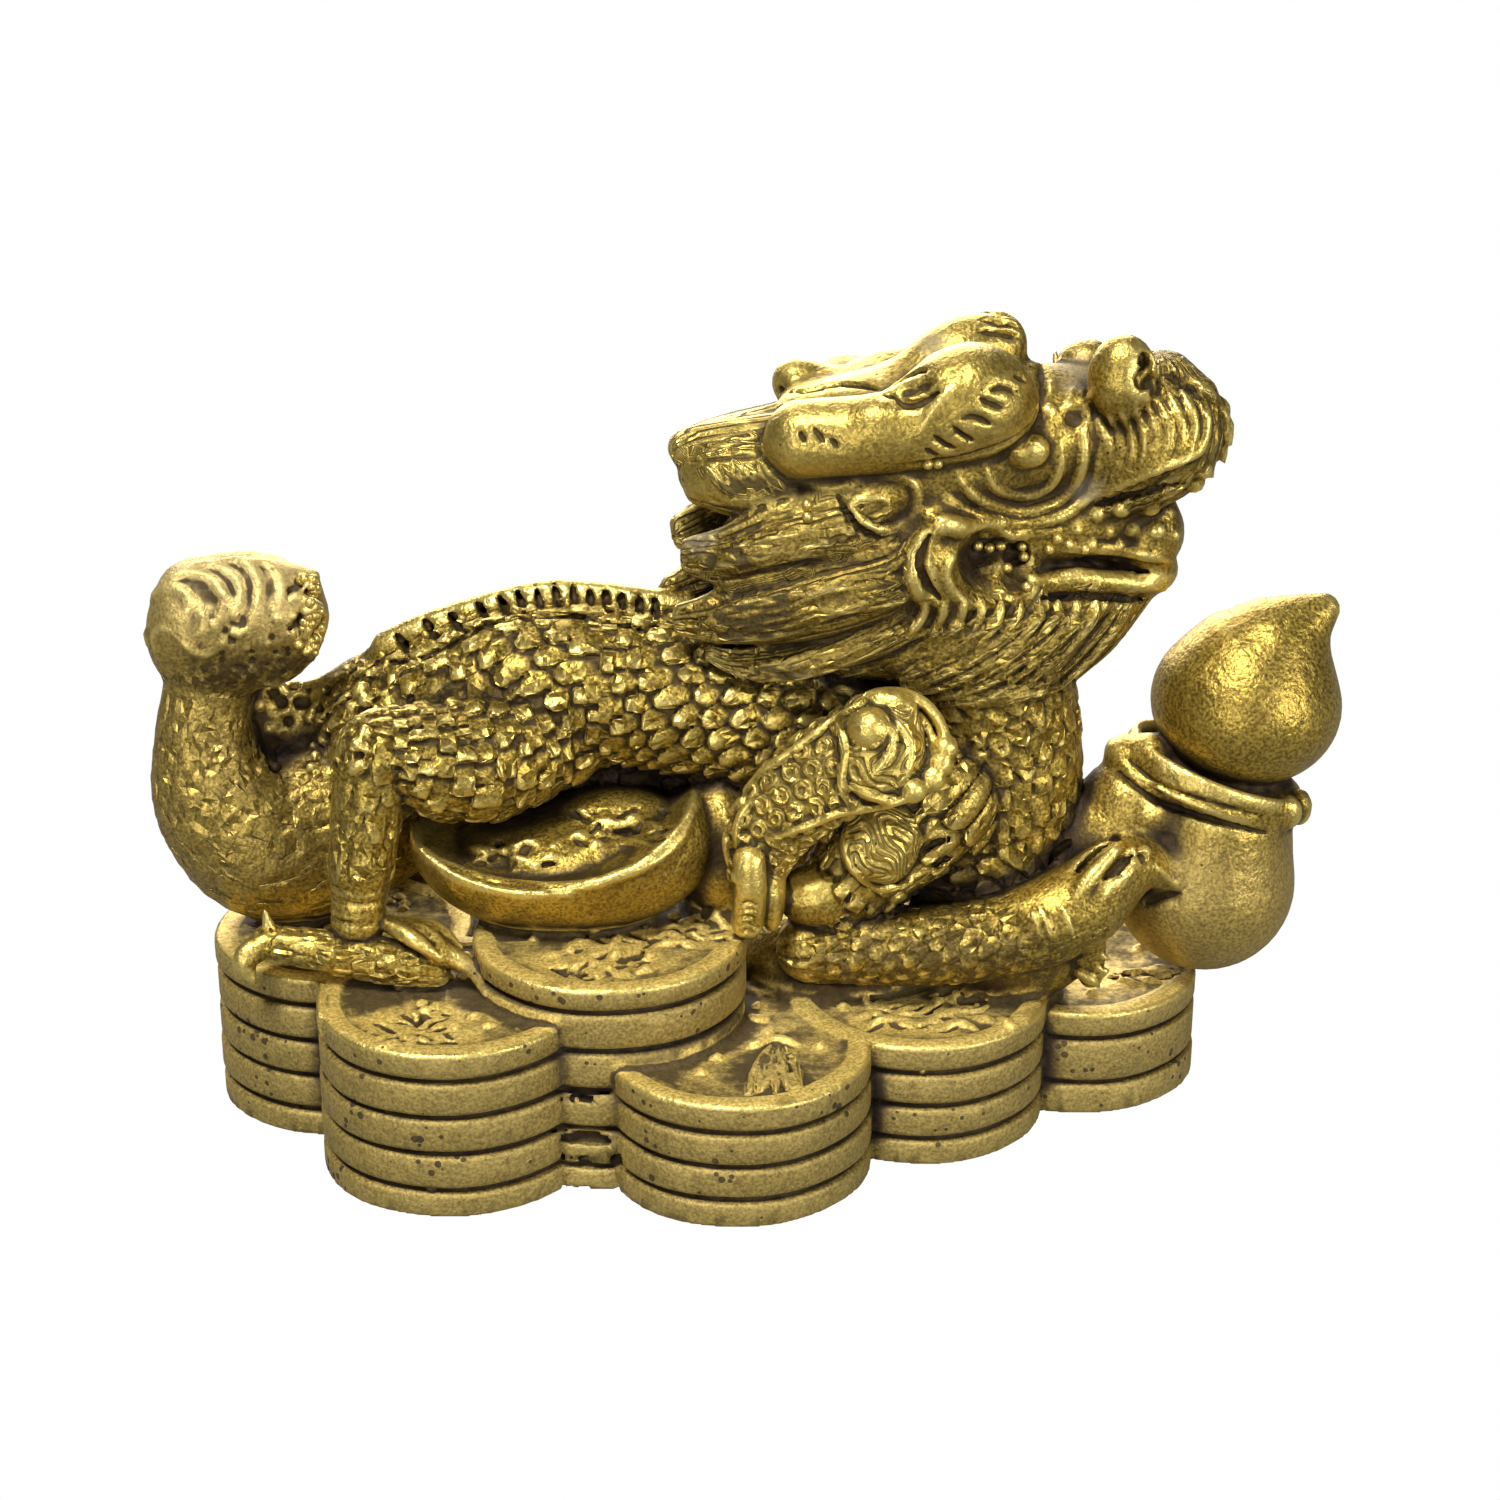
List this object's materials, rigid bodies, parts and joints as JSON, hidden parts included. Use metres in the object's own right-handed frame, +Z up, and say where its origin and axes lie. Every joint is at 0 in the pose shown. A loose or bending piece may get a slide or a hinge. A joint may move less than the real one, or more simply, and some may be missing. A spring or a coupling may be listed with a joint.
{
  "type": "dragon figure",
  "caption": "Small cast dragon lying over a bed of stacked coins, with an ingot, a beaded ornament and a gourd, standing on a flat underside.",
  "frame": {"origin": "middle of the flat underside of the coin bed", "axes": "+X towards the dragon's nose and the gourd, +Y away from the side that shows the hind leg, the ingot and the ornament, +Z up"},
  "size_m": [0.0701, 0.0387, 0.0466],
  "materials": {
    "gold_paint": "gold-coloured bronze-powder paint on cast resin, satin and grainy, darker brown in the hollows, rubbed pale on the high places"
  },
  "bodies": {
    "root": {"dragon_figure": "gold_paint"}
  },
  "joints": []
}
